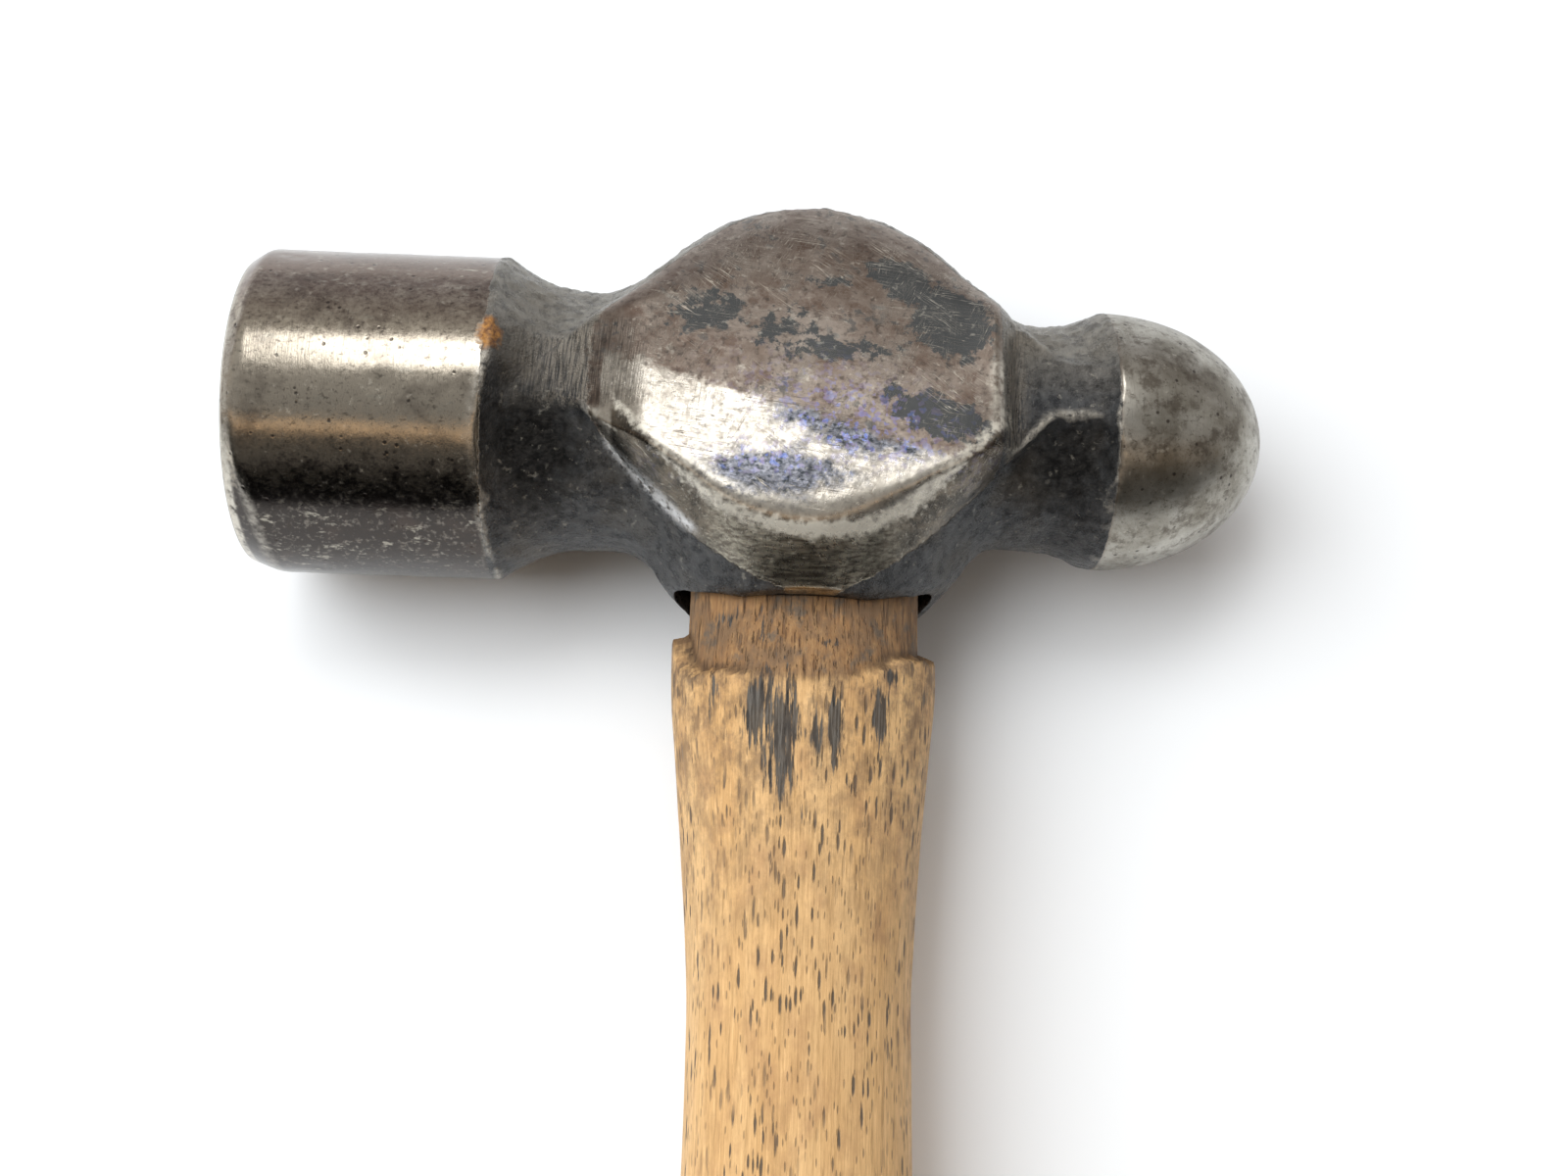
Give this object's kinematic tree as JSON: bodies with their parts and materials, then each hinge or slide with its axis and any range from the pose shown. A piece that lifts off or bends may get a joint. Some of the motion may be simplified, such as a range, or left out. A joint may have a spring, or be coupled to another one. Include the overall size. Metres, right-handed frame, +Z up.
{
  "type": "ball peen hammer",
  "caption": "Hand hammer with a forged steel head, flat round striking face at one end and domed peen at the other, wedged onto an oval wooden handle.",
  "frame": {"origin": "centre of the lower flat cheek of the head, straight below the middle of the eye", "axes": "+Z up with the hammer lying on its cheek, +X along the head from the striking face to the ball, the handle runs towards -Y"},
  "size_m": [0.1124, 0.3794, 0.036],
  "materials": {
    "head_steel": "worn forged steel, polished ends, dark scale on the necks",
    "handle_wood": "dry unvarnished open-grain hardwood",
    "wedge_wood": "dry softwood",
    "wedge_steel": "dull mild steel"
  },
  "bodies": {
    "root": {"hammer_head": "head_steel", "handle": "handle_wood", "wooden_kerf_wedge": "wedge_wood", "steel_wedge_face_side": "wedge_steel", "steel_wedge_ball_side": "wedge_steel"}
  },
  "joints": []
}
